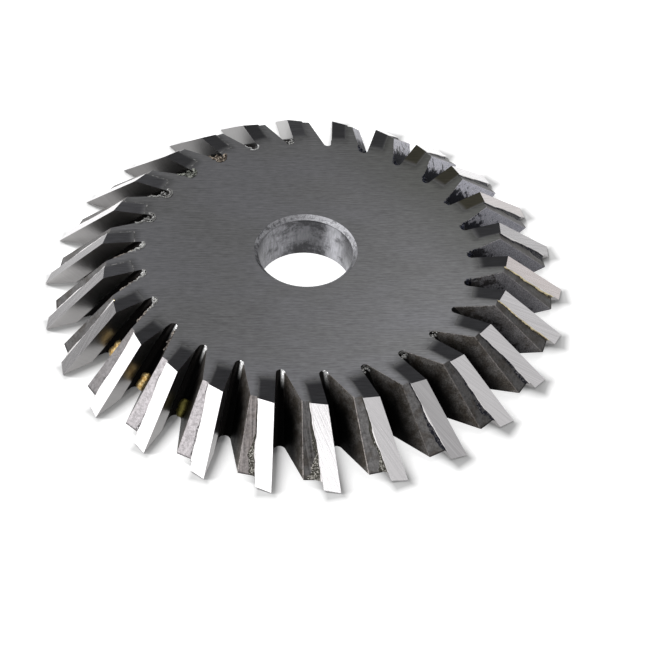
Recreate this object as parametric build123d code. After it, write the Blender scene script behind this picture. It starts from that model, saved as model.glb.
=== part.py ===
from build123d import *
from math import asin, atan2, cos, pi, radians, sin, sqrt, tan
import os

# Single-angle milling cutter with brazed-on tips, lying on its large side.
# The origin is the centre of the underside, +Z runs up the bore axis and the small
# flat face is on top. The first tooth's upper cutting corner lies on +X, and the
# others follow counter-clockwise. All sizes are in millimetres and degrees.

# Whole cutter
OUTER_DIAMETER = 150.0   # over the lower corners of the cutting edges
FACE_DIAMETER = 115.1    # over the upper corners of the cutting edges
HEIGHT = 15.0            # from the underside to the small flat face
TEETH = 26

# Bore and hub
BORE_DIAMETER = 27.0
BORE_CHAMFER_TOP = 1.2
BORE_CHAMFER_BOTTOM = 0.6
HUB_DIAMETER = 84.0      # the boss that reaches the underside
HUB_BEVEL = 45.0         # slope of the step between the boss and the relieved rim

# Body cone, which stands back from the tips
RIM_RELIEF = 1.4         # the rim's underside lies this far above the boss's
FACE_SETBACK = 1.35      # from the upper cutting corner in to the body's own edge
RIM_SETBACK = 3.6        # from the lower cutting corner in to the body's own edge

# Cutting tips: flat bars of rectangular section, ground on the outside
RAKE_ANGLE = 6.6         # the rake face leans this far forward of a radius
TIP_THICKNESS = 4.2      # square to the rake face
TIP_WIDTH = 5.75         # square to the cutting edge, along the rake face
LAND_RELIEF = 12.3       # the land falls behind a line square to the rake face
END_RELIEF = 3.0         # the lower end rises behind the lower cutting corner
BRAZE_GAP = 0.2          # filler between a tip and its seat

# Gullets between the teeth
GULLET_DEPTH_FACE = 10.4
GULLET_DEPTH_RIM = 10.8
ROOT_RADIUS_FACE = 1.2
ROOT_RADIUS_RIM = 1.65
HEEL_WIDTH_FACE = 1.9    # body left behind a tip at the flat face
HEEL_WIDTH_RIM = 4.6     # body left behind a tip at the rim

# How far the cutting shapes run past the surfaces that they open
OVERCUT = 1.0
GULLET_OVERCUT = 0.2     # how far a seat's cut runs into the open gullet

PITCH = 360.0 / TEETH
FACE_RADIUS = FACE_DIAMETER / 2
OUTER_RADIUS = OUTER_DIAMETER / 2
BORE_RADIUS = BORE_DIAMETER / 2
HUB_RADIUS = HUB_DIAMETER / 2
BODY_FACE_RADIUS = FACE_RADIUS - FACE_SETBACK
BODY_RIM_RADIUS = OUTER_RADIUS - RIM_SETBACK
RAKE = radians(RAKE_ANGLE)
SEAT_FLOOR = TIP_WIDTH + BRAZE_GAP
SEAT_BACK = TIP_THICKNESS + BRAZE_GAP
RAKE_OFFSET = FACE_RADIUS * sin(RAKE)   # how far the rake plane passes from the bore axis

# The rake plane is upright. Its level direction runs outwards, and the cutting edge
# falls in it from the upper corner to the lower one.
RAKE_OUT = Vector(cos(RAKE), sin(RAKE), 0)
RAKE_FRONT = Vector(-sin(RAKE), cos(RAKE), 0)
UPPER_CORNER = Vector(FACE_RADIUS, 0, HEIGHT)
EDGE_REACH = sqrt(OUTER_RADIUS**2 - RAKE_OFFSET**2) - FACE_RADIUS * cos(RAKE)
LOWER_CORNER = Vector(FACE_RADIUS, 0, 0) + RAKE_OUT * EDGE_REACH
EDGE = (LOWER_CORNER - UPPER_CORNER).normalized()


def blank():
    """The turned body before its teeth are cut: bore, boss, relieved rim and cone."""
    step = RIM_RELIEF / tan(radians(HUB_BEVEL))
    outline = Polyline(
        (BORE_RADIUS, BORE_CHAMFER_BOTTOM),
        (BORE_RADIUS + BORE_CHAMFER_BOTTOM, 0),
        (HUB_RADIUS, 0),
        (HUB_RADIUS + step, RIM_RELIEF),
        (BODY_RIM_RADIUS, RIM_RELIEF),
        (BODY_FACE_RADIUS, HEIGHT),
        (BORE_RADIUS + BORE_CHAMFER_TOP, HEIGHT),
        (BORE_RADIUS, HEIGHT - BORE_CHAMFER_TOP),
        close=True,
    )
    return revolve(Plane.XZ * make_face(outline), Axis.Z)


def edge_plane(z):
    """The plane square to the cutting edge where the edge's line is at height z.

    Its x runs inwards along the rake face and its y out of the rake face.
    """
    along = (HEIGHT - z) / -EDGE.Z
    inwards = RAKE_FRONT.cross(EDGE)
    return Plane(origin=UPPER_CORNER + EDGE * along, x_dir=inwards, z_dir=EDGE)


def edge_bar(*points):
    """A bar of the given section along the cutting edge, past both ends of the tooth."""
    spare = TIP_WIDTH + TIP_THICKNESS + OVERCUT
    length = (HEIGHT + 2 * spare) / -EDGE.Z
    section = make_face(Polyline(*points, close=True))
    return extrude(edge_plane(HEIGHT + spare) * section, length)


def tip():
    """One cutting tip: its rake face, ground land, flush top and relieved lower end."""
    fall = TIP_THICKNESS * tan(radians(LAND_RELIEF))
    bar = edge_bar((0, 0), (TIP_WIDTH, 0), (TIP_WIDTH, -TIP_THICKNESS), (fall, -TIP_THICKNESS))
    top = Plane((0, 0, HEIGHT))
    lift = tan(radians(END_RELIEF))
    end = Plane(origin=LOWER_CORNER, x_dir=RAKE_OUT, z_dir=Vector(0, 0, 1) + RAKE_FRONT * lift)
    return split(split(bar, top, Keep.BOTTOM), end, Keep.TOP)


def seat_cut():
    """The notch that a tip and its filler lie in, open to the gullet and the outside."""
    return edge_bar(
        (-OVERCUT, GULLET_OVERCUT),
        (SEAT_FLOOR, GULLET_OVERCUT),
        (SEAT_FLOOR, -SEAT_BACK),
        (-OVERCUT, -SEAT_BACK),
    )


def braze_seam():
    """The filler between one tip and its seat: behind the tip and under its inner side."""
    seam = edge_bar(
        (-OVERCUT, -TIP_THICKNESS),
        (TIP_WIDTH, -TIP_THICKNESS),
        (TIP_WIDTH, 0),
        (SEAT_FLOOR, 0),
        (SEAT_FLOOR, -SEAT_BACK),
        (-OVERCUT, -SEAT_BACK),
    )
    return seam & blank()


def between(z, at_face, at_rim):
    """A size that changes evenly from the flat face down to the rim, at height z."""
    return at_face + (at_rim - at_face) * (HEIGHT - z) / (HEIGHT - RIM_RELIEF)


def heel_corner(z):
    """Where the next tooth's heel strip meets its slope, at height z on the body cone."""
    radius = between(z, BODY_FACE_RADIUS, BODY_RIM_RADIUS)
    width = between(z, HEEL_WIDTH_FACE, HEEL_WIDTH_RIM)
    # The seat's back wall is upright and parallel to the rake plane.
    seat_angle = RAKE - asin((RAKE_OFFSET + SEAT_BACK) / radius)
    angle = seat_angle - width / radius + radians(PITCH)
    return Vector(radius * cos(angle), radius * sin(angle), z)


def root_centre(z):
    """The centre and radius of the gullet's rounded root at height z."""
    radius = between(z, ROOT_RADIUS_FACE, ROOT_RADIUS_RIM)
    innermost = between(z, BODY_FACE_RADIUS - GULLET_DEPTH_FACE, BODY_RIM_RADIUS - GULLET_DEPTH_RIM)
    distance = innermost + radius
    # The root touches the rake plane.
    angle = RAKE + asin((radius - RAKE_OFFSET) / distance)
    return Vector(distance * cos(angle), distance * sin(angle), z), radius


def gullet_outline(z):
    """The gullet's level section at height z: rake wall, round root and heel slope."""
    centre, radius = root_centre(z)
    corner = heel_corner(z)
    reach = corner - centre
    run = sqrt(reach.length**2 - radius**2)
    heading = atan2(reach.Y, reach.X) - asin(radius / reach.length)
    slope = Vector(cos(heading), sin(heading), 0)
    slope_foot = centre + Vector(-sin(heading), cos(heading), 0) * radius
    rake_foot = centre - RAKE_FRONT * radius
    middle = (heading + RAKE) / 2 + pi
    root = centre + Vector(cos(middle), sin(middle), 0) * radius
    outside = run + OUTER_RADIUS - BODY_RIM_RADIUS + OVERCUT
    rake_end = rake_foot + RAKE_OUT * (outside + HEEL_WIDTH_RIM)
    slope_end = slope_foot + slope * outside
    return Wire([
        Line(rake_end, rake_foot).edge(),
        ThreePointArc(rake_foot, root, slope_foot).edge(),
        Line(slope_foot, slope_end).edge(),
        Line(slope_end, rake_end).edge(),
    ])


def gullet():
    """The space cut between one tooth's rake face and the next tooth's heel."""
    upper = Face(gullet_outline(HEIGHT + OVERCUT))
    lower = Face(gullet_outline(RIM_RELIEF - OVERCUT))
    return loft([upper, lower], ruled=True)


def around(shape):
    """Copies of a shape at every tooth, counter-clockwise from +X."""
    return [Rot(0, 0, PITCH * number) * shape for number in range(TEETH)]


def cutter_body():
    """The body with a gullet and a tip seat cut at every tooth."""
    return blank() - around(gullet()) - around(seat_cut())


def write(name, shape):
    """Writes one solid to its own file."""
    shape.label = name
    export_step(shape, f"parts/{name}.step")


os.makedirs("parts", exist_ok=True)
write("cutter_body", cutter_body())
for number, (one_tip, one_seam) in enumerate(zip(around(tip()), around(braze_seam())), 1):
    write(f"carbide_tip_{number:02d}", one_tip)
    write(f"braze_seam_{number:02d}", one_seam)
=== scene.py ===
"""Looks of a single-angle milling cutter with brazed tips, lying on its large side."""
import logging
from dataclasses import dataclass
from enum import Enum
from math import asin, atan2, cos, pi, radians, sin, sqrt, tan
from typing import Optional, Union

import bpy
import numpy as np
from mathutils import Matrix, Vector


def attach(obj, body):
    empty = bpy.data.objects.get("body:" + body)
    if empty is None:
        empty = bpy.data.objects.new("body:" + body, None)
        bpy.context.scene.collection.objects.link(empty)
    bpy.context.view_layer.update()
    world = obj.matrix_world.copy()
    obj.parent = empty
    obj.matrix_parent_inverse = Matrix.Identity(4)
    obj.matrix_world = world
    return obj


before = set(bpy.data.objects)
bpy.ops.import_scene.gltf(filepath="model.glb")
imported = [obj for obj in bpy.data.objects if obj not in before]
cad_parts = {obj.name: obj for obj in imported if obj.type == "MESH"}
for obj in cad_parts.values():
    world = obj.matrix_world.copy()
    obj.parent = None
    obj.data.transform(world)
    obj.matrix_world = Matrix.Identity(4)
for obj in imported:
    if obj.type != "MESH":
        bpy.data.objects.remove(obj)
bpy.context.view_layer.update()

LOG = logging.getLogger("milling_cutter")
METRES = 0.001    # one millimetre
BURR_RISE = 0.25  # how far a lump may rise over the flat face
BODY = "root"

Colour = tuple[float, float, float]
Triple = tuple[float, float, float]
Span = tuple[float, float]
Number = Union["Channel", float]
Tint = Union[Colour, bpy.types.NodeSocket]
SocketValue = Union["Channel", bpy.types.NodeSocket, float, Colour]


@dataclass(frozen=True)
class CutterSizes:
    """The cutter's driving sizes in millimetres and degrees, as the solids have them."""

    teeth: int = 26
    outer_radius: float = 75.0
    face_radius: float = 57.55
    height: float = 15.0
    bore_radius: float = 13.5
    rake_angle: float = 6.6
    tip_thickness: float = 4.2
    tip_width: float = 5.75
    land_relief: float = 12.3
    braze_gap: float = 0.2
    rim_relief: float = 1.4
    face_setback: float = 1.35
    rim_setback: float = 3.6
    gullet_depth_face: float = 10.4
    gullet_depth_rim: float = 10.8
    root_radius_face: float = 1.2
    root_radius_rim: float = 1.65
    heel_width_face: float = 1.9
    heel_width_rim: float = 4.6

    @property
    def pitch(self) -> float:
        """The angle from one tooth to the next, in radians."""
        return 2 * pi / self.teeth

    @property
    def rake(self) -> float:
        """The rake angle in radians."""
        return radians(self.rake_angle)

    @property
    def rake_offset(self) -> float:
        """How far the rake plane passes from the bore axis."""
        return self.face_radius * sin(self.rake)

    @property
    def edge_reach(self) -> float:
        """How far the cutting edge runs outwards, measured level along the rake face."""
        level = self.face_radius * cos(self.rake)
        return sqrt(self.outer_radius**2 - self.rake_offset**2) - level

    @property
    def face_edge(self) -> float:
        """The radius of the body's own edge at the flat face."""
        return self.face_radius - self.face_setback

    @property
    def rim_edge(self) -> float:
        """The radius of the body's own edge at the rim."""
        return self.outer_radius - self.rim_setback

    def between(self, z: Number, at_face: float, at_rim: float) -> Number:
        """A size that changes evenly from the flat face down to the rim.

        Args:
            z: A height, as a number, an array or a shader value.
            at_face: The size at the flat face.
            at_rim: The size at the rim's underside.

        Returns:
            at_face plus (at_rim - at_face) times the share of the way down.
        """
        fall = (at_rim - at_face) / (self.height - self.rim_relief)
        return (self.height - z) * fall + at_face


SIZES = CutterSizes()


class ToothShape:
    """Points of one tooth, worked out as if it stood on +X, in millimetres."""

    def __init__(self, sizes: CutterSizes) -> None:
        """Works out the tooth's own directions.

        Args:
            sizes: The cutter's driving sizes.
        """
        self.sizes = sizes
        rake = sizes.rake
        fall = atan2(sizes.height, sizes.edge_reach)
        self.outwards = np.array([cos(rake), sin(rake), 0.0])
        self.forwards = np.array([-sin(rake), cos(rake), 0.0])
        self.edge = self.outwards * cos(fall) - np.array([0.0, 0.0, sin(fall)])
        self.inwards = -self.outwards * sin(fall) - np.array([0.0, 0.0, cos(fall)])
        self.corner = np.array([sizes.face_radius, 0.0, sizes.height])
        slip = tan(radians(sizes.land_relief))
        level = slip * self.inwards[2] / self.edge[2]
        self.behind_land = self.inwards * slip - self.forwards - self.edge * level

    def land_back(self, z: np.ndarray) -> np.ndarray:
        """The land's back edge at each height.

        The line is the cutting edge moved back by the tip's thickness and inwards by
        that thickness times the tangent of the land's relief.

        Args:
            z: Heights.

        Returns:
            One point per height.
        """
        thickness = self.sizes.tip_thickness
        start = self.corner - self.forwards * thickness
        start = start + self.inwards * thickness * tan(radians(self.sizes.land_relief))
        along = (z - start[2]) / self.edge[2]
        return start + along[:, None] * self.edge

    def on_cone(self, z: np.ndarray, behind: np.ndarray, depth: float) -> np.ndarray:
        """Points of the body's cone behind a tip.

        At each height the tip's back plane crosses the cone at the angle whose sine is
        the plane's distance over the radius, and the point lies an arc further back.

        Args:
            z: Heights.
            behind: Arc lengths behind the tip, one per height.
            depth: How far the points lie under the cone, level.

        Returns:
            One point per height.
        """
        sizes = self.sizes
        radius = sizes.between(z, sizes.face_edge, sizes.rim_edge)
        angle = sizes.rake - np.arcsin((sizes.rake_offset + sizes.tip_thickness) / radius)
        angle = angle - behind / radius
        reach = radius - depth
        return np.stack([reach * np.cos(angle), reach * np.sin(angle), z], axis=-1)

    def heel_corner(self, z: float) -> np.ndarray:
        """Where this tooth's strip meets the slope of the gullet behind it.

        Args:
            z: The height.

        Returns:
            The point on the cone, as far behind the filler as the strip is wide there.
        """
        sizes = self.sizes
        width = sizes.between(z, sizes.heel_width_face, sizes.heel_width_rim)
        return self.on_cone(np.array([z]), np.array([width + sizes.braze_gap]), 0.0)[0]

    def root_circle(self, z: float) -> tuple[np.ndarray, float]:
        """The rounded root of the gullet in front, in a level section.

        The root touches the rake plane, and its innermost point lies a gullet's depth
        inside the body's edge.

        Args:
            z: The height.

        Returns:
            The root's centre and its radius.
        """
        sizes = self.sizes
        radius = sizes.between(z, sizes.root_radius_face, sizes.root_radius_rim)
        at_face = sizes.face_edge - sizes.gullet_depth_face
        at_rim = sizes.rim_edge - sizes.gullet_depth_rim
        distance = sizes.between(z, at_face, at_rim) + radius
        angle = sizes.rake + asin((radius - sizes.rake_offset) / distance)
        return np.array([distance * cos(angle), distance * sin(angle), z]), radius

    def slope_line(self, z: float) -> tuple[np.ndarray, np.ndarray, np.ndarray]:
        """The heel slope across the gullet in front of the tooth, in a level section.

        The slope touches the root, so its heading is that of the line from the root's
        centre to the heel corner, less the angle whose sine is the radius over that line.

        Args:
            z: The height.

        Returns:
            The slope's foot on the root, its level direction outwards, and the level
            direction square to it, into the gullet.
        """
        centre, radius = self.root_circle(z)
        reach = self.turned(self.heel_corner(z), 2) / METRES - centre
        length = float(np.hypot(reach[0], reach[1]))
        heading = atan2(reach[1], reach[0]) - asin(radius / length)
        along = np.array([cos(heading), sin(heading), 0.0])
        into = np.array([sin(heading), -cos(heading), 0.0])
        return centre - into * radius, along, into

    def turned(self, points: np.ndarray, number: int) -> np.ndarray:
        """Moves points to a numbered tooth's real place.

        Args:
            points: Points in millimetres, in any shape that ends in 3.
            number: The tooth's number, from 1, counter-clockwise from +X.

        Returns:
            The points turned about the bore axis, in metres.
        """
        angle = self.sizes.pitch * (number - 1)
        turn = np.array([[cos(angle), -sin(angle), 0], [sin(angle), cos(angle), 0], [0, 0, 1]])
        return points @ turn.T * METRES


TOOTH = ToothShape(SIZES)


@dataclass(frozen=True)
class Grain:
    """A cloudy noise: its waves along each coordinate and how its finer layers build up."""

    waves: Triple
    layers: float
    strength: float

    @classmethod
    def even(cls, waves: float, layers: float, strength: float) -> "Grain":
        """A grain with the same waves along all three coordinates."""
        return cls((waves, waves, waves), layers, strength)


class Channel:
    """A shader value that carries one number. Arithmetic on it adds Math nodes."""

    def __init__(self, bench: "FinishBench", socket: bpy.types.NodeSocket) -> None:
        """Keeps the bench that makes the nodes and the socket that gives the number.

        Args:
            bench: The bench whose tree the socket is in.
            socket: An output socket.
        """
        self.bench = bench
        self.socket = socket

    def __add__(self, other: Number) -> "Channel":
        """The sum."""
        return self.bench.math("ADD", self, other)

    def __sub__(self, other: Number) -> "Channel":
        """This value less the other."""
        return self.bench.math("SUBTRACT", self, other)

    def __rsub__(self, other: Number) -> "Channel":
        """The other value less this one."""
        return self.bench.math("SUBTRACT", other, self)

    def __mul__(self, other: Number) -> "Channel":
        """The product."""
        return self.bench.math("MULTIPLY", self, other)

    def __truediv__(self, other: Number) -> "Channel":
        """This value over the other."""
        return self.bench.math("DIVIDE", self, other)

    def __rtruediv__(self, other: Number) -> "Channel":
        """The other value over this one."""
        return self.bench.math("DIVIDE", other, self)

    def __pow__(self, other: Number) -> "Channel":
        """This value raised to a power."""
        return self.bench.math("POWER", self, other)

    def __abs__(self) -> "Channel":
        """The value without its sign."""
        return self.bench.math("ABSOLUTE", self)

    __radd__ = __add__
    __rmul__ = __mul__

    def rise(self, low: Number, high: Number) -> "Channel":
        """A smooth step upwards.

        Args:
            low: Where it starts to rise from 0.
            high: Where it reaches 1.

        Returns:
            The step's height at this value.
        """
        ramp = {"interpolation_type": "SMOOTHSTEP"}
        node = self.bench.node("ShaderNodeMapRange", ramp, {0: self, 1: low, 2: high})
        return Channel(self.bench, node.outputs[0])

    def fall(self, low: Number, high: Number) -> "Channel":
        """A smooth step from 1 at low to 0 at high."""
        return 1 - self.rise(low, high)


class FinishBench:
    """Makes the nodes of one material, or of the world."""

    def __init__(self, tree: bpy.types.NodeTree) -> None:
        """Empties the tree.

        Args:
            tree: The node tree to build in.
        """
        self.tree = tree
        tree.nodes.clear()

    def node(
        self,
        kind: str,
        settings: dict[str, object],
        sockets: dict[Union[int, str], SocketValue],
    ) -> bpy.types.Node:
        """Adds one node.

        Args:
            kind: The node's type.
            settings: Its settings, such as a Math node's operation, which are set first.
            sockets: Values or links for its inputs, by name or number.

        Returns:
            The node.
        """
        node = self.tree.nodes.new(kind)
        for name, value in settings.items():
            setattr(node, name, value)
        for key, value in sockets.items():
            self._feed(node.inputs[key], value)
        return node

    def _feed(self, socket: bpy.types.NodeSocket, value: SocketValue) -> None:
        """Links a socket or sets its own value.

        Args:
            socket: The input.
            value: A channel or output to link, a number or a colour.
        """
        if isinstance(value, Channel):
            self.tree.links.new(value.socket, socket)
        elif isinstance(value, bpy.types.NodeSocket):
            self.tree.links.new(value, socket)
        elif isinstance(value, tuple) and socket.type == "RGBA":
            socket.default_value = (*value, 1.0)
        else:
            socket.default_value = value

    def math(self, operation: str, *values: Number) -> Channel:
        """One Math node's result."""
        node = self.node("ShaderNodeMath", {"operation": operation}, dict(enumerate(values)))
        return Channel(self, node.outputs[0])

    def blend(self, share: Number, first: Tint, second: Tint) -> bpy.types.NodeSocket:
        """The first colour where share is 0, the second where it is 1."""
        sockets = {0: share, 6: first, 7: second}
        return self.node("ShaderNodeMix", {"data_type": "RGBA"}, sockets).outputs[2]

    def shade(self, colour: Tint, factor: Number) -> bpy.types.NodeSocket:
        """A colour made lighter or darker by a factor."""
        sockets = {0: colour, "Scale": factor}
        return self.node("ShaderNodeVectorMath", {"operation": "SCALE"}, sockets).outputs[0]

    def place(self) -> tuple[Channel, Channel, Channel]:
        """The point's own place.

        Returns:
            Its x, y and z in millimetres, on Object coordinates.
        """
        source = self.node("ShaderNodeTexCoord", {}, {}).outputs["Object"]
        split = self.node("ShaderNodeSeparateXYZ", {}, {0: source})
        x, y, z = (Channel(self, output) * (1 / METRES) for output in split.outputs)
        return x, y, z

    def facing(self) -> tuple[Channel, Channel, Channel]:
        """The way that the surface faces.

        Returns:
            The x, y and z of its normal.
        """
        source = self.node("ShaderNodeNewGeometry", {}, {}).outputs["Normal"]
        split = self.node("ShaderNodeSeparateXYZ", {}, {0: source})
        x, y, z = (Channel(self, output) for output in split.outputs)
        return x, y, z

    def noise(self, place: tuple[Number, Number, Number], grain: Grain) -> Channel:
        """Cloudy noise of about 0.2 to 0.8.

        Args:
            place: The point's coordinates. A coordinate of 1 picks one slice of the noise.
            grain: The noise's waves and layers.

        Returns:
            The noise at each coordinate times the grain's waves along it.
        """
        scaled = {axis: place[axis] * grain.waves[axis] for axis in range(3)}
        vector = self.node("ShaderNodeCombineXYZ", {}, scaled).outputs[0]
        sockets = {"Vector": vector, "Scale": 1.0}
        sockets.update({"Detail": grain.layers, "Roughness": grain.strength})
        return Channel(self, self.node("ShaderNodeTexNoise", {}, sockets).outputs[0])

    def chance(self, count: Number) -> Channel:
        """An even random number from 0 to 1 that belongs to a count."""
        node = self.node("ShaderNodeTexWhiteNoise", {"noise_dimensions": "1D"}, {"W": count})
        return Channel(self, node.outputs["Value"])

    def past_corner(self, first: Channel, second: Channel) -> Channel:
        """How far a point is from a corner.

        Args:
            first: How far the point lies past the corner's one side, negative inside.
            second: How far it lies past the other side.

        Returns:
            The root of the sum of the squares of what is positive of both.
        """
        first = self.math("MAXIMUM", first, 0.0)
        second = self.math("MAXIMUM", second, 0.0)
        return (first * first + second * second) ** 0.5

    def relief(self, height: Channel) -> bpy.types.NodeSocket:
        """The normal of a surface with small heights in millimetres."""
        sockets = {"Strength": 1.0, "Distance": METRES, "Height": height}
        return self.node("ShaderNodeBump", {}, sockets).outputs[0]

    def metal(self, colour: Tint, rough: Number, normal: bpy.types.NodeSocket) -> None:
        """Ends the material in a bare metal surface.

        Args:
            colour: Its reflection's colour.
            rough: Its roughness.
            normal: Its small relief.
        """
        sockets = {"Base Color": colour, "Roughness": rough, "Metallic": 1.0, "Normal": normal}
        surface = self.node("ShaderNodeBsdfPrincipled", {}, sockets).outputs[0]
        self.node("ShaderNodeOutputMaterial", {}, {"Surface": surface})


def material_bench(name: str) -> tuple[bpy.types.Material, FinishBench]:
    """Starts a material.

    Args:
        name: The material's name.

    Returns:
        The material and the bench that makes its nodes.
    """
    material = bpy.data.materials.new(name)
    material.use_nodes = True
    return material, FinishBench(material.node_tree)


@dataclass(frozen=True)
class Stretch:
    """A stretch of a scale that looks different: full near its middle, gone further out."""

    middle: float
    full: float
    gone: float
    strength: float = 1.0

    def at(self, value: Channel) -> Channel:
        """The stretch's strength at a value of its scale."""
        return abs(value - self.middle).fall(self.full, self.gone) * self.strength


class ToothField:
    """Where a surface point lies on its own tooth, as shader values in millimetres."""

    def __init__(self, bench: FinishBench, split: float) -> None:
        """Counts the teeth round the bore axis and measures from the nearest one.

        Args:
            bench: The material's bench.
            split: Where one tooth's share ends, in degrees in front of its upper corner.
        """
        x, y, z = bench.place()
        count = bench.math("CEIL", (bench.math("ARCTAN2", y, x) - radians(split)) / SIZES.pitch)
        turn = count * SIZES.pitch
        ahead = bench.math("COSINE", turn)
        aside = bench.math("SINE", turn)
        across = x * ahead + y * aside - SIZES.face_radius
        sideways = y * ahead - x * aside
        self.bench = bench
        self.place = x, y, z
        self.x, self.y, self.z = x, y, z
        self.index = bench.math("FLOORED_MODULO", count, float(SIZES.teeth))
        self.behind = across * sin(SIZES.rake) - sideways * cos(SIZES.rake)
        self.along = self._measure(across, sideways, z, TOOTH.edge)
        self.inner = self._measure(across, sideways, z, TOOTH.inwards)

    def _measure(
        self, across: Channel, sideways: Channel, z: Channel, direction: np.ndarray
    ) -> Channel:
        """The point's distance from the upper corner along a direction of the tooth.

        Args:
            across: How far out of the corner the point lies, level and along the radius.
            sideways: How far to the side of that radius it lies.
            z: Its height.
            direction: The direction, of length 1, as if the tooth stood on +X.

        Returns:
            The sum of the three distances times the direction's own parts.
        """
        level = across * float(direction[0]) + sideways * float(direction[1])
        return level + (z - SIZES.height) * float(direction[2])

    def is_one_of(self, numbers: tuple[int, ...]) -> Channel:
        """1 on the numbered teeth and 0 on the others."""
        matches = [self.bench.math("COMPARE", self.index, float(n - 1), 0.5) for n in numbers]
        return sum(matches[1:], matches[0])

    def near(self, stretch: Stretch) -> Channel:
        """The strength of a stretch of teeth, which goes either way round the cutter.

        Args:
            stretch: Its middle is a tooth's number, and it fades with teeth from there.

        Returns:
            The strength at the point's tooth.
        """
        half = SIZES.teeth / 2
        turn = self.index + (half + 1 - stretch.middle)
        away = abs(self.bench.math("FLOORED_MODULO", turn, float(SIZES.teeth)) - half)
        return away.fall(stretch.full, stretch.gone) * stretch.strength


@dataclass(frozen=True)
class Brushing:
    """Long fine lines across the flat face, all in one direction.

    The grain along the lines and across them is in millimetres, and the lines' angle
    from +X in degrees.
    """

    length: float
    spacing: float
    turn: float = 2.4
    layers: float = 3.0
    strength: float = 0.6

    def lines(self, field: ToothField) -> Channel:
        """The lines at a point.

        Args:
            field: The point.

        Returns:
            Noise that is long along the lines and short across them.
        """
        turn = radians(self.turn)
        run = field.x * cos(turn) + field.y * sin(turn)
        step = field.y * cos(turn) - field.x * sin(turn)
        waves = 1 / self.length, 1 / self.spacing, 0.0
        return field.bench.noise((run, step, 1.0), Grain(waves, self.layers, self.strength))


def closed_skin(name: str, rings: np.ndarray) -> bpy.types.Object:
    """A closed mesh through rings of points.

    Point j of ring i is vertex i times the ring's length plus j. Each quad joins two
    neighbours of one ring to the same two of the next, and an end ring closes in one face.

    Args:
        name: The piece's name.
        rings: Points in metres, as rings by points by 3.

    Returns:
        The piece, with its faces pointing outwards.
    """
    count, size, _ = rings.shape
    row = np.arange(count - 1)[:, None] * size
    here = np.arange(size)[None, :]
    after = (here + 1) % size
    quads = np.stack([row + here, row + after, row + size + after, row + size + here], axis=-1)
    faces = quads.reshape(-1, 4).tolist()
    faces.append(np.arange(size)[::-1].tolist())
    faces.append((np.arange(size) + (count - 1) * size).tolist())
    return solid_piece(name, rings.reshape(-1, 3), faces)


def solid_piece(name: str, points: np.ndarray, faces: list[list[int]]) -> bpy.types.Object:
    """Puts a closed surface into a mesh, turned outwards.

    The volume is the sum over each face's first triangle fan of the corners' triple
    product over six; where it comes out negative every face is turned round.

    Args:
        name: The piece's name.
        points: Points in metres, as points by 3.
        faces: Each face's vertex numbers.

    Returns:
        The piece, in the scene.
    """
    corners = np.array([[f[0], f[i], f[i + 1]] for f in faces for i in range(1, len(f) - 1)])
    first, second, third = (points[corners[:, i]] for i in range(3))
    if np.einsum("ij,ij->i", first, np.cross(second, third)).sum() < 0:
        faces = [face[::-1] for face in faces]
    mesh = bpy.data.meshes.new(name)
    mesh.from_pydata(points.tolist(), [], faces)
    mesh.shade_smooth()
    piece = bpy.data.objects.new(name, mesh)
    bpy.context.scene.collection.objects.link(piece)
    return piece


def ripple(z: np.ndarray, rng: np.random.Generator, waves: tuple[float, ...]) -> np.ndarray:
    """An uneven wave of about -1 to 1.

    It is the sum of one sine for each wavelength, each with its own random phase and
    weighted by its wavelength's share of them all, so that the long waves lead.

    Args:
        z: Where the wave is wanted, in millimetres.
        rng: The seeded random source.
        waves: The wavelengths.

    Returns:
        The wave's height at each place.
    """
    lengths = np.array(waves)[:, None]
    phases = rng.uniform(0, 2 * pi, len(waves))[:, None]
    waves_at = np.sin(z[None, :] / lengths * 2 * pi + phases)
    return (waves_at * lengths).sum(axis=0) / lengths.sum()


def dress(piece: bpy.types.Object, material: bpy.types.Material) -> None:
    """Gives a piece one material over its whole surface."""
    piece.data.materials.clear()
    piece.data.materials.append(material)


def dress_node(name: str, material: bpy.types.Material) -> None:
    """Gives a solid from the frame one material, in its existing slots.

    Args:
        name: The node's name.
        material: Its new material.
    """
    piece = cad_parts[name]
    if not piece.data.materials:
        piece.data.materials.append(material)
    for slot in piece.material_slots:
        slot.material = material


# The teeth at the back right whose gullets are full of soot
SOOTY_TEETH = Stretch(5.2, 0.6, 3.0)


class BodyField(ToothField):
    """A point of the body, with the way its surface faces and its two fine grains."""

    COARSE = Grain.even(1.1, 4.0, 0.65)
    FINE = Grain.even(3.2, 2.0, 0.6)

    def __init__(self, bench: FinishBench, split: float) -> None:
        """Adds the surface's own values to the point's place.

        Args:
            bench: The material's bench.
            split: Where one tooth's share ends, in degrees in front of its upper corner.
        """
        super().__init__(bench, split)
        nx, ny, self.upward = bench.facing()
        self.below = SIZES.height - self.z
        self.radius = (self.x * self.x + self.y * self.y) ** 0.5
        self.under_cone = SIZES.between(self.z, SIZES.face_edge, SIZES.rim_edge) - self.radius
        self.outward = (nx * self.x + ny * self.y) / self.radius
        self.forward = (ny * self.x - nx * self.y) / self.radius
        self.grain = bench.noise(self.place, self.COARSE)
        self.grit = bench.noise(self.place, self.FINE)
        self.sooty = self.near(SOOTY_TEETH)


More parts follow.
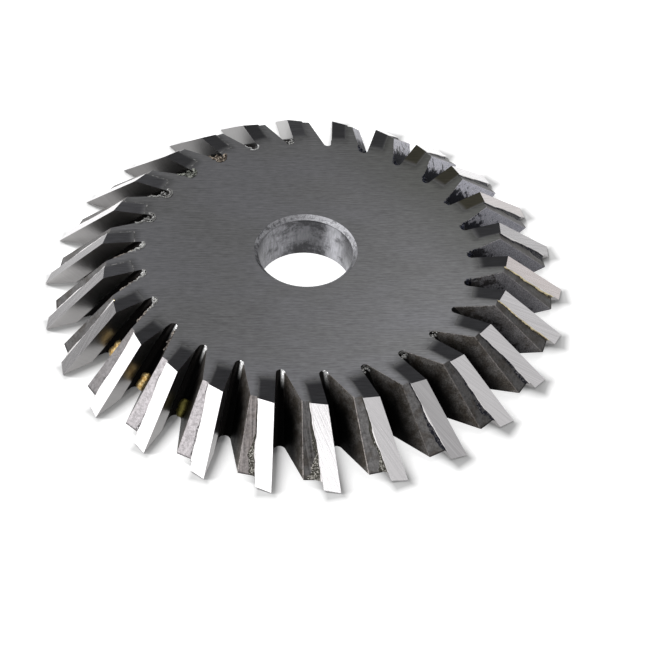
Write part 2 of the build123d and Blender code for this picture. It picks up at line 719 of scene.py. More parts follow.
@dataclass(frozen=True)
class FaceFinish:
    """The flat face: brushing lines and short dashes over faint cloudy patches.

    It is darker towards the back right, a painted shade with a greenish tint, and a little darker
    close to each tip.
    """

    grey: Colour = (0.064, 0.064, 0.0653)
    cool: Colour = (0.0631, 0.0631, 0.0664)
    # Painted shade with a greenish tint, for the back right of the face
    olive_shade: Colour = (0.041, 0.0415, 0.039)
    cloud: Grain = Grain((0.03, 0.05, 4.0), 2.0, 0.5)
    cool_cloud: Span = (0.35, 0.65)
    lines: Brushing = Brushing(9.0, 0.24)
    dashes: Brushing = Brushing(2.4, 0.5)
    dash_contrast: float = 0.8
    cloud_contrast: float = 0.4
    shade_heading: Span = (0.8, 0.6)
    shade_reach: Span = (20.0, 56.0)
    shade_wander: float = 30.0
    tip_split: float = 4.0
    halo_width: float = 1.9
    halo_start: Span = (-0.5, 0.5)
    halo_least: float = 0.1
    halo_cloud: float = 0.5

    def colour(self, field: BodyField, streak: Channel) -> Tint:
        """The face's colour.

        Args:
            field: The point.
            streak: The brushing lines, which the relief follows too.

        Returns:
            The colour.
        """
        bench = field.bench
        cloud = bench.noise((field.x, field.y, 1.0), self.cloud)
        base = bench.blend(cloud.rise(*self.cool_cloud), self.grey, self.cool)
        # Painted shade: darker and greener towards the back right
        right, back = self.shade_heading
        far = field.x * right + field.y * back + (cloud - 0.5) * self.shade_wander
        base = bench.blend(far.rise(*self.shade_reach), base, self.olive_shade)
        light = (self.dashes.lines(field) - 0.5) * self.dash_contrast
        light = light + (cloud - 0.5) * self.cloud_contrast + streak + 0.5
        return bench.shade(base, light - self._halo(bench, cloud))

    def _halo(self, bench: FinishBench, cloud: Channel) -> Channel:
        """How much darker the face is beside the tips.

        Args:
            bench: The material's bench.
            cloud: The face's patches, which the halo follows.

        Returns:
            A share that fades with the distance from the tip's own rectangle.
        """
        tip = ToothField(bench, split=self.tip_split)
        half = SIZES.tip_thickness / 2
        away = bench.past_corner(tip.inner - SIZES.tip_width, abs(tip.behind - half) - half)
        near = away.fall(0.0, self.halo_width) * tip.inner.rise(*self.halo_start)
        return near * (cloud * self.halo_cloud + self.halo_least)


@dataclass(frozen=True)
class SlopeFinish:
    """The heel slopes: brown-grey at their edges and black inside by painted shade, or open and
    sooty.

    The slopes at the back right face the camera and are painted pale, as painted light, with soot
    over them. Those at the front get painted light, and keep a bright ground ridge along the strip
    with a painted highlight on it and on the top edge.
    """

    brown_grey: Colour = (0.082, 0.077, 0.073)
    brown: Colour = (0.048, 0.042, 0.036)
    # Painted shade: the near-black colour deep inside the shut gullets
    inner: Colour = (0.005, 0.0048, 0.0048)
    # Painted light: the pale colour of the open slopes at the back right
    pale: Colour = (0.125, 0.125, 0.14)
    soot: Colour = (0.008, 0.009, 0.014)
    # Painted highlight, on ground metal, along the ridge and the top edge
    ridge: Colour = (0.66, 0.61, 0.59)
    patch: Grain = Grain.even(0.35, 3.0, 0.6)
    brown_patch: Span = (0.4, 0.6)
    blotch: Grain = Grain.even(0.9, 4.0, 0.7)
    blotch_contrast: float = 1.2
    blotch_least: float = 0.4
    inner_shade_reach: Span = (-0.6, 6.8)
    inner_shade_wander: float = 1.2
    # Painted light on the slopes of the teeth at the front
    lit_teeth: Stretch = Stretch(20.7, 0.8, 2.0, 1.2)
    open_teeth: Stretch = Stretch(5.5, 2.0, 7.0)
    soot_line: Grain = Grain((0.25, 0.9, 3.1), 3.0, 0.6)
    soot_shares: Triple = (0.4, 0.35, 0.25)
    soot_step: Span = (0.5, 0.57)
    soot_growth: float = 0.02
    soot_middle: float = 5.0
    soot_root: Span = (5.0, 8.5)
    root_soot: float = 0.09
    more_soot: float = 0.05
    sooty_pale: float = 1.3
    ridge_teeth: Stretch = Stretch(20.7, 0.8, 2.5, 0.92)
    ridge_width: Span = (0.12, 0.5)
    ridge_grain: Span = (0.34, 0.46)
    top_width: Span = (0.03, 0.3)
    top_grain: Span = (0.4, 0.55)
    top_share: float = 0.2

    def colour(self, field: BodyField) -> Tint:
        """The slope's colour.

        Args:
            field: The point.

        Returns:
            The colour, with the ground ridge and the worn top edge over it.
        """
        bench = field.bench
        patch = bench.noise(field.place, self.patch)
        blotch = bench.noise(field.place, self.blotch)
        shut = self._shut(field, patch, blotch)
        wide = self._open(field, patch, blotch)
        # Painted light and shade: pale open slopes at the back right, dark shut ones elsewhere
        colour = bench.blend(field.near(self.open_teeth), shut, wide)
        # Painted highlights on ground metal: a bright ridge on the front teeth and a lighter top
        # edge
        ground = field.near(self.ridge_teeth) + (1 - self.ridge_teeth.strength)
        ridge = field.under_cone.fall(*self.ridge_width) * field.grain.rise(*self.ridge_grain)
        top = field.below.fall(*self.top_width) * field.grain.rise(*self.top_grain)
        bright = bench.math("MAXIMUM", ridge * ground, top * self.top_share)
        return bench.blend(bright, colour, self.ridge)

    def _shut(self, field: BodyField, patch: Channel, blotch: Channel) -> Tint:
        """A slope seen at a low angle: brown at its edges, with painted shade that darkens it
        further in and painted light on the front teeth.

        Args:
            field: The point.
            patch: Large patches.
            blotch: Small blotches.

        Returns:
            The colour.
        """
        bench = field.bench
        edge = bench.blend(patch.rise(*self.brown_patch), self.brown_grey, self.brown)
        mottle = blotch * self.blotch_contrast + self.blotch_least
        # Painted light: brighter slopes on the teeth at the front
        edge = bench.shade(edge, mottle * (field.near(self.lit_teeth) + 1.0))
        # Painted shade: darker deeper in the gullet
        deep = bench.math("MINIMUM", field.below, field.under_cone)
        deep = deep + (patch - 0.5) * self.inner_shade_wander
        return bench.blend(deep.rise(*self.inner_shade_reach), edge, self.inner)

    def _open(self, field: BodyField, patch: Channel, blotch: Channel) -> Tint:
        """A slope that faces the camera: painted pale as painted light, with soot that thickens to
        the root.

        Args:
            field: The point.
            patch: Large patches.
            blotch: Small blotches.

        Returns:
            The colour.
        """
        bench = field.bench
        line = bench.noise((field.under_cone, field.z, field.index), self.soot_line)
        wide, small, fine = self.soot_shares
        soot = patch * wide + blotch * small + line * fine
        soot = soot + (field.under_cone - self.soot_middle) * self.soot_growth
        soot = soot + field.sooty * (field.under_cone.rise(*self.soot_root) * self.root_soot)
        soot = soot + field.sooty * self.more_soot
        # Painted light: paler still on the sooty teeth
        pale = bench.shade(self.pale, field.sooty * self.sooty_pale + 1.0)
        return bench.blend(soot.rise(*self.soot_step), pale, self.soot)


@dataclass(frozen=True)
class StripFinish:
    """The cone strips behind the tips: dull and gritty, lighter at the front left by painted light.
    """

    dull: Colour = (0.068, 0.066, 0.066)
    brown: Colour = (0.044, 0.04, 0.037)
    # Painted light: the lighter colours of the strips at the front left
    light: Colour = (0.27, 0.255, 0.262)
    lined: Colour = (0.25, 0.222, 0.216)
    patch: Grain = Grain.even(0.25, 3.0, 0.6)
    brown_patch: Span = (0.42, 0.65)
    light_teeth: Stretch = Stretch(18.5, 0.4, 2.2)
    lined_teeth: Stretch = Stretch(20.7, 0.8, 1.8)
    grey_teeth: Stretch = Stretch(22.4, 0.3, 1.6, 0.8)
    soot_dark: float = 0.7
    line: Grain = Grain((0.06, 2.6, 4.7), 2.0, 0.5)
    line_contrast: float = 2.2
    grit_step: Span = (0.3, 0.7)
    grit_contrast: float = 0.3
    grain_contrast: float = 1.6
    light_contrast: float = 0.3
    least: float = 0.05
    rim_edge: Span = (1.45, 1.8)
    rim_dark: float = 0.7

    def colour(self, field: BodyField) -> Tint:
        """The strip's colour.

        Args:
            field: The point.

        Returns:
            The colour.
        """
        bench = field.bench
        patch = bench.noise(field.place, self.patch)
        colour = bench.blend(patch.rise(*self.brown_patch), self.dull, self.brown)
        # Painted light: the strips at the front left are lighter
        light = field.near(self.light_teeth)
        lined = field.near(self.lined_teeth)
        colour = bench.blend(light, colour, bench.blend(lined, self.light, self.lined))
        line = bench.noise((field.along, field.behind, field.index), self.line)
        tone = field.grit.rise(*self.grit_step) * self.grit_contrast
        tone = tone + field.grain * self.grain_contrast + self.least
        tone = tone + (field.grain - 0.5) * light * self.light_contrast
        tone = tone + (line - 0.5) * lined * self.line_contrast
        tone = tone * (field.near(self.grey_teeth) - field.sooty * self.soot_dark + 1.0)
        return bench.shade(colour, tone * (1 - field.z.fall(*self.rim_edge) * self.rim_dark))


@dataclass(frozen=True)
class BoreFinish:
    """The bore's wall and its chamfers: light steel, smears, soft dark stains and painted
    highlights.

    Places round the bore are angles from +X in radians, and the others are heights.
    """

    steel: Colour = (0.2, 0.2, 0.212)
    stained: Colour = (0.035, 0.035, 0.037)
    chamfer: Colour = (0.19, 0.19, 0.2)
    smear: Grain = Grain((0.22, 0.06, 7.0), 2.0, 0.5)
    smear_contrast: float = 0.7
    scratch: Grain = Grain((1.6, 0.3, 3.0), 4.0, 0.65)
    scratch_contrast: float = 1.1
    least: float = 0.4
    stain: Grain = Grain((0.2, 0.24, 2.0), 7.0, 0.74)
    stain_step: Span = (0.47, 0.68)
    stain_share: float = 0.8
    back_stains: Stretch = Stretch(1.6, 0.1, 0.75, 0.12)
    clean_height: Stretch = Stretch(8.0, 1.0, 4.5)
    # Painted highlights down the wall at the back right, the back left and low on the right
    right_glint: Stretch = Stretch(0.88, 0.02, 0.42, 1.9)
    left_glint: Stretch = Stretch(2.4, 0.1, 0.8, 0.6)
    low_glint: Stretch = Stretch(0.4, 0.0, 0.35, 1.3)
    low_height: Span = (3.0, 8.0)
    glint_contrast: float = 1.8
    glint_least: float = 0.15
    # Painted shadow: a dark line just under the upper chamfer
    under_chamfer_shadow: Stretch = Stretch(13.6, 0.05, 0.35, 0.45)
    wear: Grain = Grain((0.7, 1.1, 1.0), 6.0, 0.7)
    wear_step: Span = (0.5, 0.66)
    wear_share: float = 0.7
    # Painted shade: more dark patches on the chamfer's left side
    left_side: Span = (-12.0, 0.0)
    left_shade: float = 0.08
    ring_contrast: float = 1.6
    ring_tone: float = 1.15
    chamfer_facing: Span = (0.3, 0.6)

    def colour(self, field: BodyField) -> Tint:
        """The bore's colour.

        Args:
            field: The point.

        Returns:
            The wall's colour, or the chamfers' where the surface faces up or down.
        """
        bench = field.bench
        turn = bench.math("ARCTAN2", field.y, field.x)
        spot = turn * SIZES.bore_radius, field.z, 1.0
        # The wear patches are real stains; their extra spread on the left side is painted shade
        wear = bench.noise(spot, self.wear) + field.x.fall(*self.left_side) * self.left_shade
        ring = bench.shade(self.chamfer, (field.grit - 0.5) * self.ring_contrast + self.ring_tone)
        ring = bench.blend(wear.rise(*self.wear_step) * self.wear_share, ring, self.stained)
        wall = self._wall(field, turn, spot)
        return bench.blend(abs(field.upward).rise(*self.chamfer_facing), wall, ring)

    def _wall(
        self, field: BodyField, turn: Channel, spot: tuple[Channel, Channel, float]
    ) -> Tint:
        """The upright wall.

        Args:
            field: The point.
            turn: Its angle round the bore.
            spot: Its way round the bore, its height and the noise's slice.

        Returns:
            The colour.
        """
        bench = field.bench
        scratch = bench.noise(spot, self.scratch)
        # Painted highlights: bright upright bands round the wall
        low = self.low_glint.at(turn) * field.z.fall(*self.low_height)
        painted_glints = self.right_glint.at(turn) + self.left_glint.at(turn) + low
        painted_glints = painted_glints * (scratch * self.glint_contrast + self.glint_least)
        tone = bench.noise(spot, self.smear) * self.smear_contrast + self.least
        tone = tone + (scratch - 0.5) * self.scratch_contrast + painted_glints
        # Painted shadow under the upper chamfer
        wall = bench.shade(self.steel, tone * (1 - self.under_chamfer_shadow.at(field.z)))
        ends = self.back_stains.at(turn) * (1 - self.clean_height.at(field.z))
        stain = (bench.noise(spot, self.stain) + ends).rise(*self.stain_step)
        return bench.blend(stain * self.stain_share, wall, self.stained)


@dataclass(frozen=True)
class BodyFinish:
    """Brushed flat face, dull cone strips, rough gullets and a worn, stained bore."""

    face: FaceFinish = FaceFinish()
    slope: SlopeFinish = SlopeFinish()
    strip: StripFinish = StripFinish()
    bore: BoreFinish = BoreFinish()
    rake_wall: Colour = (0.011, 0.0102, 0.0098)
    root: Colour = (0.004, 0.004, 0.004)
    # Worn metal with a painted highlight, at the root's upper end
    root_worn_highlight: Colour = (0.6, 0.6, 0.6)
    worn_highlight_teeth: Stretch = Stretch(17.5, 3.2, 5.2)
    worn_highlight_facing: Span = (-0.25, 0.15)
    worn_highlight_depth: Span = (0.4, 3.6)
    tooth_split: float = -2.3
    bore_side: Span = (20.0, 22.0)
    flat_facing: Span = (0.85, 0.95)
    strip_facing: Span = (0.6, 0.68)
    strip_depth: Span = (0.3, 0.5)
    wall_facing: Span = (-0.5, -0.3)
    rake_facing: Span = (-0.1, 0.3)
    root_facing: Span = (0.53, 0.66)
    grit_step: Span = (0.3, 0.7)
    grit_contrast: float = 0.7
    grit_least: float = 0.65
    face_rough: float = 0.32
    wall_rough: float = 0.45
    grain_rough: float = 0.08
    inner_rough: float = 0.5
    inner_facing: Span = (0.0, 0.3)
    inner_depth: Span = (0.5, 4.0)
    soot_rough: float = 0.35
    soot_depth: Span = (4.0, 6.5)
    grain_height: float = 0.09
    grit_height: float = 0.03
    strip_smooth: float = 0.55
    line_height: float = 0.005

    def material(self) -> bpy.types.Material:
        """The material of the whole body.

        Its parts are told apart by the surface's own facing and place: flat faces, the
        cone's strips, the gullets' walls, and all that lies within the bore's side.

        Returns:
            The material.
        """
        material, bench = material_bench("tool_steel_body")
        field = BodyField(bench, split=self.tooth_split)
        inside = field.radius.fall(*self.bore_side)
        flat = abs(field.upward).rise(*self.flat_facing)
        bored = inside * (1 - flat)
        strips = field.upward.rise(*self.strip_facing) * field.under_cone.fall(*self.strip_depth)
        strips = strips * (1 - flat) * (1 - inside)
        walls = (1 - flat) * (1 - inside) * (1 - strips) * field.upward.rise(*self.wall_facing)
        streak = self.face.lines.lines(field)
        colour = self.face.colour(field, streak)
        mottle = field.grit.rise(*self.grit_step) * self.grit_contrast + self.grit_least
        colour = bench.blend(walls, colour, bench.shade(self._walls(field), mottle))
        colour = bench.blend(strips, colour, self.strip.colour(field))
        colour = bench.blend(bored, colour, self.bore.colour(field))
        coarse = field.grain * self.grain_height + field.grit * self.grit_height
        coarse = coarse * (walls + strips + bored) * (1 - strips * self.strip_smooth)
        height = coarse + streak * ((1 - walls - strips) * self.line_height)
        bench.metal(colour, self._roughness(field, walls, strips), bench.relief(height))
        return material

    def _roughness(self, field: BodyField, walls: Channel, strips: Channel) -> Channel:
        """The body's roughness, which grows deep in the gullets and under the soot.

        Args:
            field: The point.
            walls: Where the gullets' walls are.
            strips: Where the cone's strips are.

        Returns:
            The roughness.
        """
        more = self.wall_rough - self.face_rough
        rough = self.face_rough + (walls + strips) * more + field.grain * self.grain_rough
        inner = field.outward.rise(*self.root_facing) + field.forward.rise(*self.inner_facing)
        inner = inner * field.below.rise(*self.inner_depth) * self.inner_rough
        soot = field.sooty * field.under_cone.rise(*self.soot_depth) * self.soot_rough
        return rough + walls * (inner + soot)

    def _walls(self, field: BodyField) -> Tint:
        """The gullet's walls: its heel slope, a dark rake wall and a near-black root.

        On the side where the root's upper end is worn, that end is bright: worn metal with a painted
        highlight.

        Args:
            field: The point.

        Returns:
            The colour.
        """
        bench = field.bench
        rake = field.forward.rise(*self.rake_facing)
        colour = bench.blend(rake, self.slope.colour(field), self.rake_wall)
        # Painted highlight on the worn upper end of the root
        worn_highlight = field.forward.fall(*self.worn_highlight_facing) * field.below.fall(*self.worn_highlight_depth)
        root = bench.blend(worn_highlight * field.near(self.worn_highlight_teeth), self.root, self.root_worn_highlight)
        return bench.blend(field.outward.rise(*self.root_facing), colour, root)


# Where a tip's share of the round ends, in degrees in front of its upper corner
TIP_SPLIT = 1.75


@dataclass(frozen=True)
class TipFinish:
    """Ground hard metal: dark upper ends, bright lands and mirror-like rake faces.

    The ground lines run down the land at a slant that differs from tooth to tooth. Teeth are named
    by number where the photograph shows them warmer, greyer or paler; the greyer lands and the
    dimmer rake faces at the back left are painted shade.
    """

    end: Colour = (0.0104, 0.0104, 0.0113)
    end_olive: Colour = (0.0135, 0.0125, 0.0085)
    end_soft: Colour = (0.05, 0.05, 0.051)
    land: Colour = (0.503, 0.491, 0.498)
    land_warm: Colour = (0.53, 0.488, 0.48)
    rake: Colour = (0.29, 0.283, 0.281)
    pale_ends: tuple[int, ...] = (8, 12, 13, 14, 15)
    olive_ends: tuple[int, ...] = (3, 4, 5)
    warm_lands: tuple[int, ...] = (1, 3)
    # Painted shade: lands dimmed where they mirror less light
    shaded_lands: tuple[tuple[tuple[int, ...], float], ...] = (
        ((2, 3), 0.4),
        ((23,), 0.28),
        ((14, 15, 16), 0.6),
    )
    end_facing: Span = (0.9, 0.97)
    land_facing: Span = (0.4, 0.5)
    skew_chance: float = 3.5
    least_skew: float = 0.2
    skew_range: float = 0.16
    line: Grain = Grain((0.06, 3.0, 5.3), 3.0, 0.6)
    line_contrast: float = 0.45
    scratch: Grain = Grain((0.09, 7.0, 2.1), 2.0, 0.6)
    scratch_contrast: float = 0.2
    tone_chance: float = 71.5
    land_tone: float = 0.95
    land_tone_range: float = 0.08
    rake_tone: float = 0.9
    # Painted shade: rake faces dimmed on the back-left teeth
    shaded_rakes: Stretch = Stretch(10.3, 0.5, 4.2, 0.52)
    end_lines: Brushing = Brushing(5.0, 0.35)
    end_contrast: float = 1.7
    end_least: float = 0.05
    end_tone_range: float = 0.3
    soft_inner: Span = (-1.1, 0.3)
    soft_behind: Span = (-0.6, 0.4)
    soft_contrast: float = 1.2
    soft_least: float = 0.2
    land_rough: float = 0.2
    rake_rough: float = 0.29
    end_rough: float = 0.44
    scratch_rough: float = 0.06
    line_height: float = 0.02
    scratch_height: float = 0.004
    rake_height: float = 0.001

    def material(self) -> bpy.types.Material:
        """The material of every tip, from the point's place on its own tooth.

        Returns:
            The material.
        """
        material, bench = material_bench("ground_hard_metal")
        field = ToothField(bench, split=TIP_SPLIT)
        _, _, upward = bench.facing()
        end = upward.rise(*self.end_facing)
        land = upward.rise(*self.land_facing) * (1 - end)
        skew = bench.chance(field.index + self.skew_chance) * self.skew_range + self.least_skew
        across = field.behind + field.along * skew
        line = bench.noise((field.along, across, field.index), self.line)
        scratch = bench.noise((field.along, across, field.index), self.scratch)
        tone = bench.chance(field.index + self.tone_chance)
        # Painted shade on the rake faces of the back-left teeth
        rake_shade = field.near(self.shaded_rakes)
        rake = bench.shade(self.rake, scratch * self.scratch_contrast + self.rake_tone - rake_shade)
        colour = bench.blend(land, rake, self._land(field, line, tone))
        colour = bench.blend(end, colour, self._end(field, tone))
        rough = self.rake_rough + scratch * self.scratch_rough
        rough = rough + land * (self.land_rough - self.rake_rough)
        rough = rough + end * (self.end_rough - self.rake_rough)
        height = (line * self.line_height + scratch * self.scratch_height) * land
        bench.metal(colour, rough, bench.relief(height + scratch * self.rake_height))
        return material

    def _land(self, field: ToothField, line: Channel, tone: Channel) -> Tint:
        """The ground land's colour.

        Args:
            field: The point.
            line: The ground lines.
            tone: The tooth's own random tone.

        Returns:
            The colour, warmer on some named teeth and dimmed by painted shade on others.
        """
        colour = field.bench.blend(field.is_one_of(self.warm_lands), self.land, self.land_warm)
        land_shade = sum(field.is_one_of(numbers) * share for numbers, share in self.shaded_lands)
        light = (line - 0.5) * self.line_contrast + self.land_tone
        return field.bench.shade(colour, light + tone * self.land_tone_range - land_shade)

    def _end(self, field: ToothField, tone: Channel) -> Tint:
        """The dark upper end's colour, brushed with the flat face.

        Args:
            field: The point.
            tone: The tooth's own random tone.

        Returns:
            The colour, softer where the end meets the body.
        """
        bench = field.bench
        brush = self.end_lines.lines(field)
        colour = bench.blend(field.is_one_of(self.olive_ends), self.end, self.end_olive)
        light = brush * self.end_contrast + self.end_least + tone * self.end_tone_range
        colour = bench.shade(colour, light * (field.is_one_of(self.pale_ends) + 1.0))
        inner = (field.inner - SIZES.tip_width).rise(*self.soft_inner)
        behind = (field.behind - SIZES.tip_thickness).rise(*self.soft_behind)
        border = bench.math("MAXIMUM", inner, behind)
        soft = border * (brush * self.soft_contrast + self.soft_least)
        return bench.blend(soft, colour, self.end_soft)


@dataclass(frozen=True)
class SeamFinish:
    """The thin filler line between a tip and its seat."""

    dull: Colour = (0.036, 0.036, 0.036)
    light: Colour = (0.2, 0.195, 0.19)
    light_teeth: tuple[int, ...] = (10, 11, 12, 13, 14, 15)
    grain: Grain = Grain.even(1.3, 3.0, 0.6)
    crumb_step: Span = (0.5, 0.6)
    crumb_share: float = 0.4
    contrast: float = 1.2
    least: float = 0.4
    rough: float = 0.3
    grain_rough: float = 0.2
    grain_height: float = 0.08

    def material(self) -> bpy.types.Material:
        """The material of every seam, with light crumbs on the teeth that show them.

        Returns:
            The material.
        """
        material, bench = material_bench("silver_solder_seam")
        field = ToothField(bench, split=TIP_SPLIT)
        grain = bench.noise(field.place, self.grain)
        crumbs = field.is_one_of(self.light_teeth) * grain.rise(*self.crumb_step)
        colour = bench.blend(crumbs * self.crumb_share, self.dull, self.light)
        colour = bench.shade(colour, grain * self.contrast + self.least)
        rough = grain * self.grain_rough + self.rough
        bench.metal(colour, rough, bench.relief(grain * self.grain_height))
        return material


class BeadLook(Enum):
    """The ways that the filler behind a tip looks."""

    GOLDEN = "golden"
    FLECKED = "flecked"
    DARK = "dark"
    BRIGHT = "bright"


@dataclass(frozen=True)
class BeadFinish:
    """Filler that ran out behind a tip: ground bright at its top, coloured at its rim."""

    deep: Colour
    speck: Colour
    rim: Colour
    share: float
    rough: float
    rim_depth: float = 0.24
    plain_share: float = 0.0
    plain: Colour = (0.05, 0.049, 0.05)
    ground: Colour = (0.48, 0.465, 0.465)
    grain: Grain = Grain.even(1.3, 4.0, 0.65)
    fleck: Grain = Grain.even(2.6, 3.0, 0.6)
    blot: Grain = Grain.even(0.7, 2.0, 0.5)
    blot_contrast: float = 0.4
    fleck_heights: Span = (5.0, 11.0)
    low_flecks: float = 0.16
    fleck_step: Span = (1.06, 1.12)
    plain_heights: Span = (2.0, 10.0)
    low_blots: float = 0.14
    plain_step: Span = (0.5, 0.6)
    rim_wander: float = 0.9
    rim_full: float = 0.4
    ground_depth: Span = (0.03, 0.09)
    contrast: float = 1.4
    least: float = 0.3
    grain_rough: float = 0.2
    ground_smooth: float = 0.1
    grain_height: float = 0.14

    def material(self, name: str) -> bpy.types.Material:
        """The material of the beads of one look.

        Args:
            name: The material's name.

        Returns:
            The material.
        """
        material, bench = material_bench(name)
        field = ToothField(bench, split=TIP_SPLIT)
        grain = bench.noise(field.place, self.grain)
        blot = bench.noise(field.place, self.blot)
        low = field.z.fall(*self.fleck_heights) * self.low_flecks
        fleck = bench.noise(field.place, self.fleck) + (blot - 0.5) * self.blot_contrast + low
        colour = bench.blend((fleck + self.share).rise(*self.fleck_step), self.deep, self.speck)
        plain = blot + field.z.fall(*self.plain_heights) * self.low_blots
        plain = plain.fall(*self.plain_step) * self.plain_share
        colour = bench.blend(plain, colour, self.plain)
        depth = field.inner - field.behind * tan(radians(SIZES.land_relief))
        rim = depth + (grain - 0.5) * self.rim_wander
        rim = rim.fall(self.rim_depth * self.rim_full, self.rim_depth)
        colour = bench.blend(rim, colour, self.rim)
        colour = bench.shade(colour, grain * self.contrast + self.least)
        ground = depth.fall(*self.ground_depth)
        colour = bench.blend(ground, colour, self.ground)
        height = grain * ((1 - ground) * self.grain_height)
        rough = grain * self.grain_rough + self.rough - ground * self.ground_smooth
        bench.metal(colour, rough, bench.relief(height))
        return material


BEAD_FINISHES = {
    BeadLook.GOLDEN: BeadFinish(
        deep=(0.028, 0.025, 0.022),
        speck=(0.16, 0.13, 0.075),
        rim=(0.62, 0.53, 0.33),
        share=0.34,
        rough=0.3,
        rim_depth=0.42,
    ),
    BeadLook.FLECKED: BeadFinish(
        deep=(0.034, 0.033, 0.028),
        speck=(0.24, 0.23, 0.21),
        rim=(0.1, 0.094, 0.085),
        share=0.38,
        rough=0.45,
    ),
    BeadLook.DARK: BeadFinish(
        deep=(0.013, 0.0135, 0.018),
        speck=(0.09, 0.088, 0.092),
        rim=(0.04, 0.039, 0.043),
        share=0.33,
        rough=0.5,
        plain_share=1.0,
    ),
    BeadLook.BRIGHT: BeadFinish(
        deep=(0.07, 0.066, 0.068),
        speck=(0.28, 0.27, 0.275),
        rim=(0.16, 0.152, 0.155),
        share=0.42,
        rough=0.3,
    ),
}
BEAD_PLACES = {
    BeadLook.GOLDEN: (1, 16, 26),
    BeadLook.FLECKED: (20, 21, 22),
    BeadLook.BRIGHT: (17, 18, 19),
}


@dataclass(frozen=True)
class BrazeBeads:
    """The wavy filler in the corner between each tip's back and its heel strip."""

    sections: int = 80
    curve_points: int = 6
    flush_width: float = 0.22
    flush_wave: float = 0.42
    flush_least: float = 0.03
    width_face: float = 0.2
    width_rim: float = 0.75
    width_wave: float = 0.7
    broad: float = 2.1
    broad_teeth: tuple[int, ...] = (22, 23, 24)
    blotched: float = 3.0
    blotched_teeth: tuple[int, ...] = (2, 3, 4, 20)
    widest: float = 4.2
    widest_tooth: int = 21
    fill: float = 0.28
    fill_wave: float = 0.3
    flush_waves: tuple[float, ...] = (12.0, 5.0, 2.3, 1.0)
    width_waves: tuple[float, ...] = (8.0, 3.4, 1.5, 0.8)
    fill_waves: tuple[float, ...] = (6.3, 3.1, 1.4, 0.8)
    top_gap: float = 0.02
    rim_gap: float = 0.15
    sunk: float = 0.12
    foot_sunk: float = 0.036
    closing_sunk: float = 0.24
    seed: int = 400

    def look(self, number: int) -> BeadLook:
        """Which look a numbered tooth's bead has."""
        looks = [look for look, numbers in BEAD_PLACES.items() if number in numbers]
        return looks[0] if looks else BeadLook.DARK

    def _breadth(self, number: int) -> float:
        """How wide a bead is at the rim.

        Args:
            number: The tooth's number.

        Returns:
            How many times the usual width.
        """
        if number == self.widest_tooth:
            return self.widest
        if number in self.blotched_teeth:
            return self.blotched
        return self.broad if number in self.broad_teeth else 1.0

    def rings(self, number: int) -> np.ndarray:
        """Level sections of one bead, from just under the flat face down to the rim.

        A section runs level along the land's own plane for a short uneven way behind the
        land, then follows a quadratic curve, drawn in towards the corner behind the tip,
        to a point of the heel strip, and closes inside the solids. The way, the curve's
        reach and its fullness follow uneven waves of the height.

        Args:
            number: The tooth's number.

        Returns:
            Points in metres, as sections by points by 3.
        """
        rng = np.random.default_rng(self.seed + number)
        z = np.linspace(
            SIZES.height - self.top_gap, SIZES.rim_relief + self.rim_gap, self.sections
        )
        flush = self.flush_width + self.flush_wave * ripple(z, rng, self.flush_waves)
        flush = np.maximum(flush, self.flush_least)
        growth = self.width_rim * self._breadth(number) - self.width_face
        width = self.width_face + growth * SIZES.between(z, 0.0, 1.0) ** 2
        width = flush + width * (1 + self.width_wave * ripple(z, rng, self.width_waves))
        fill = self.fill + self.fill_wave * ripple(z, rng, self.fill_waves)
        land = TOOTH.land_back(z)
        shelf = land + TOOTH.behind_land * flush[:, None]
        foot = TOOTH.on_cone(z, width, self.foot_sunk)
        corner = TOOTH.on_cone(z, flush, 0.0)
        pull = corner + (shelf - corner) * fill[:, None]
        share = np.linspace(0, 1, self.curve_points)[None, :, None]
        curve = shelf[:, None] * (1 - share) ** 2 + foot[:, None] * share**2
        curve = curve + pull[:, None] * 2 * share * (1 - share)
        hidden_foot = TOOTH.on_cone(z, width, self.closing_sunk)
        hidden_corner = TOOTH.on_cone(z, width * 0, self.closing_sunk)
        hidden_corner = hidden_corner + TOOTH.forwards * self.sunk
        hidden_land = land + (TOOTH.forwards - TOOTH.outwards) * self.sunk
        closing = np.stack([hidden_foot, hidden_corner, hidden_land, land], axis=1)
        return TOOTH.turned(np.concatenate([curve, closing], axis=1), number)

    def build(self) -> list[bpy.types.Object]:
        """Builds and dresses the beads of all teeth.

        Returns:
            The pieces.
        """
        coats = {look: f.material(f"braze_bead_{look.value}") for look, f in BEAD_FINISHES.items()}
        pieces = []
        for number in range(1, SIZES.teeth + 1):
            piece = closed_skin(f"braze_bead_{number:02d}", self.rings(number))
            dress(piece, coats[self.look(number)])
            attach(piece, BODY)
            pieces.append(piece)
        return pieces


class BurrLook(Enum):
    """The ways that a gullet's end at the flat face looks."""

    CRUMBLY = "crumbly"
    CURLED = "curled"
    TAN = "tan"
    PALE = "pale"
    WORN = "worn"
    SOOTY = "sooty"
    RINGED = "ringed"
    STUBBY = "stubby"
    SMALL = "small"


